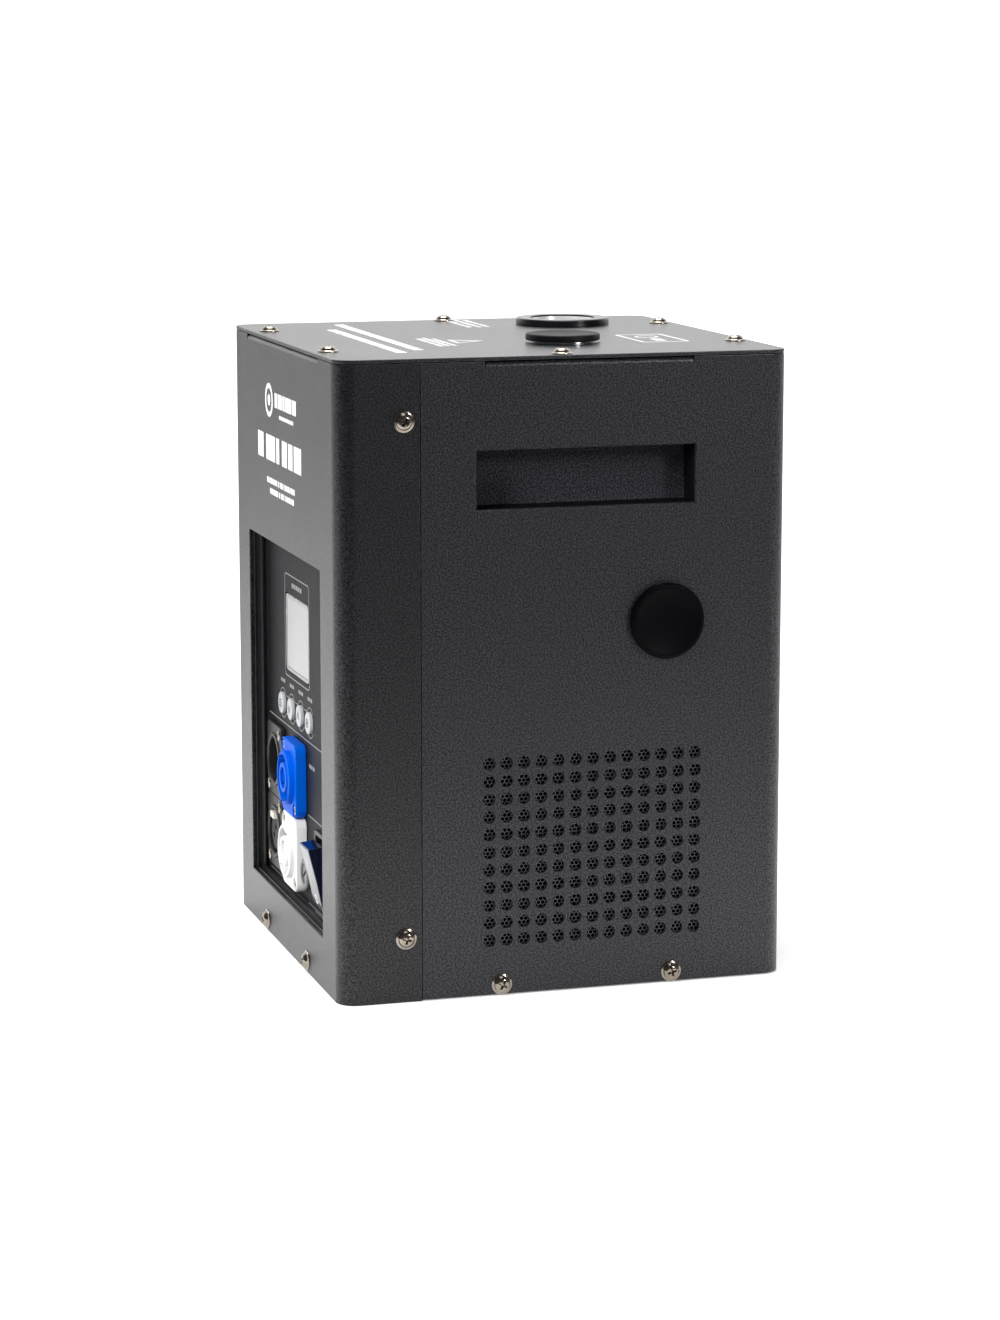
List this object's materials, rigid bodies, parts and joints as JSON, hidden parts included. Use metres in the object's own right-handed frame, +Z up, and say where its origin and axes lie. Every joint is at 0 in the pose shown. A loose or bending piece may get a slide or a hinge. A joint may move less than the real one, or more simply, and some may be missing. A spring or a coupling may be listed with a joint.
{
  "type": "stage spark fountain machine",
  "caption": "Box-shaped sheet-metal stage effect machine with a spark nozzle and feeder on top, side handle pockets, perforated vents and a recessed control panel.",
  "frame": {"origin": "centre of the footprint at floor level", "axes": "the control panel faces -Y, +X is the side with the round rubber plug, +Z is up"},
  "size_m": [0.1899, 0.1875, 0.2579],
  "materials": {
    "powder_black": "fine textured charcoal-black powder coat",
    "panel_grey": "satin dark grey",
    "nickel": "warm nickel plate",
    "rubber_black": "satin black",
    "plastic_black": "satin black",
    "gloss_black": "gloss black",
    "mesh_black": "satin black",
    "display_clear": "clear over a pale grey display",
    "key_grey": "satin grey",
    "plastic_blue": "satin blue",
    "plastic_white": "satin white",
    "plastic_cream": "satin cream",
    "connector_black": "satin black",
    "brass": "bright",
    "steel_polished": "polished",
    "steel_plain": "plain",
    "aluminium": "turned",
    "copper": "bright copper",
    "board_green": "green solder mask"
  },
  "bodies": {
    "cabinet": {"auger_tube": "steel_plain", "base_plate": "powder_black", "blower_housing": "plastic_black", "chassis_bracket": "steel_plain", "control_panel": "panel_grey", "display_module": "board_green", "display_window": "display_clear", "dmx_in_pins": "brass", "dmx_in_shell": "connector_black", "dmx_out_core": "plastic_black", "dmx_out_shell": "connector_black", "dust_mesh_left": "mesh_black", "dust_mesh_right": "mesh_black", "fan_frame": "plastic_black", "feed_motor": "steel_plain", "feeder_neck": "aluminium", "front_shell": "powder_black", "fuse_holder": "plastic_black", "handle_cup_left": "powder_black", "handle_cup_right": "powder_black", "heater_coil": "copper", "hopper": "steel_plain", "main_board": "board_green", "nozzle_collar": "plastic_black", "nozzle_dish": "steel_polished", "power_inlet": "plastic_blue", "power_outlet": "plastic_white", "power_supply": "steel_plain", "rear_shell": "powder_black", "screw_front_left": "nickel", "screw_front_right": "nickel", "screw_left_base_front": "nickel", "screw_left_base_rear": "nickel", "screw_left_lower": "nickel", "screw_left_upper": "nickel", "screw_right_base_front": "nickel", "screw_right_base_rear": "nickel", "screw_right_lower": "nickel", "screw_right_upper": "nickel", "screw_top_front_left": "nickel", "screw_top_front_right": "nickel", "screw_top_mid_left": "nickel", "screw_top_mid_right": "nickel", "screw_top_rear_left": "nickel", "screw_top_rear_right": "nickel", "spark_tube": "steel_plain", "switch_body": "gloss_black", "top_plate": "powder_black"},
    "side_plug": {"side_plug": "rubber_black"},
    "feeder_cap": {"feeder_cap": "rubber_black"},
    "fuse_cap": {"fuse_cap": "plastic_black"},
    "switch_rocker": {"switch_rocker": "gloss_black"},
    "key_menu": {"key_menu": "key_grey"},
    "key_down": {"key_down": "key_grey"},
    "key_up": {"key_up": "key_grey"},
    "key_enter": {"key_enter": "key_grey"},
    "dmx_out_latch": {"dmx_out_latch": "plastic_cream"},
    "feed_screw": {"feed_screw": "steel_plain"},
    "blower_rotor": {"blower_rotor": "plastic_black"},
    "fan_rotor": {"fan_rotor": "plastic_black"}
  },
  "joints": [
    {"name": "feeder_cap_lift", "type": "slide", "parent": "cabinet", "child": "feeder_cap", "axis": [0, 0, 1], "range_m": [0, 0.04]},
    {"name": "side_plug_pull", "type": "slide", "parent": "cabinet", "child": "side_plug", "axis": [1, 0, 0], "range_m": [0, 0.02]},
    {"name": "fuse_cap_pull", "type": "slide", "parent": "cabinet", "child": "fuse_cap", "axis": [0, -1, 0], "range_m": [0, 0.02]},
    {"name": "power_switch_rock", "type": "hinge", "parent": "cabinet", "child": "switch_rocker", "pos_m": [0.0395, -0.086, 0.0405], "axis": [1, 0, 0], "range_deg": [-26, 0]},
    {"name": "key_menu_press", "type": "slide", "parent": "cabinet", "child": "key_menu", "axis": [0, 1, 0], "range_m": [0, 0.0008], "stiffness_N_per_m": 300},
    {"name": "key_down_press", "type": "slide", "parent": "cabinet", "child": "key_down", "axis": [0, 1, 0], "range_m": [0, 0.0008], "stiffness_N_per_m": 300},
    {"name": "key_up_press", "type": "slide", "parent": "cabinet", "child": "key_up", "axis": [0, 1, 0], "range_m": [0, 0.0008], "stiffness_N_per_m": 300},
    {"name": "key_enter_press", "type": "slide", "parent": "cabinet", "child": "key_enter", "axis": [0, 1, 0], "range_m": [0, 0.0008], "stiffness_N_per_m": 300},
    {"name": "dmx_latch_press", "type": "slide", "parent": "cabinet", "child": "dmx_out_latch", "axis": [0, 1, 0], "range_m": [0, 0.0015], "stiffness_N_per_m": 300},
    {"name": "feed_screw_spin", "type": "hinge", "parent": "cabinet", "child": "feed_screw", "pos_m": [0.0364, 0.0157, 0.165], "axis": [-0.9546, 0.2979, 0], "continuous": true},
    {"name": "blower_rotor_spin", "type": "hinge", "parent": "cabinet", "child": "blower_rotor", "pos_m": [-0.03, 0.044, 0.048], "axis": [0, -1, 0], "continuous": true},
    {"name": "fan_rotor_spin", "type": "hinge", "parent": "cabinet", "child": "fan_rotor", "pos_m": [-0.0804, 0.0113, 0.0581], "axis": [1, 0, 0], "continuous": true}
  ]
}
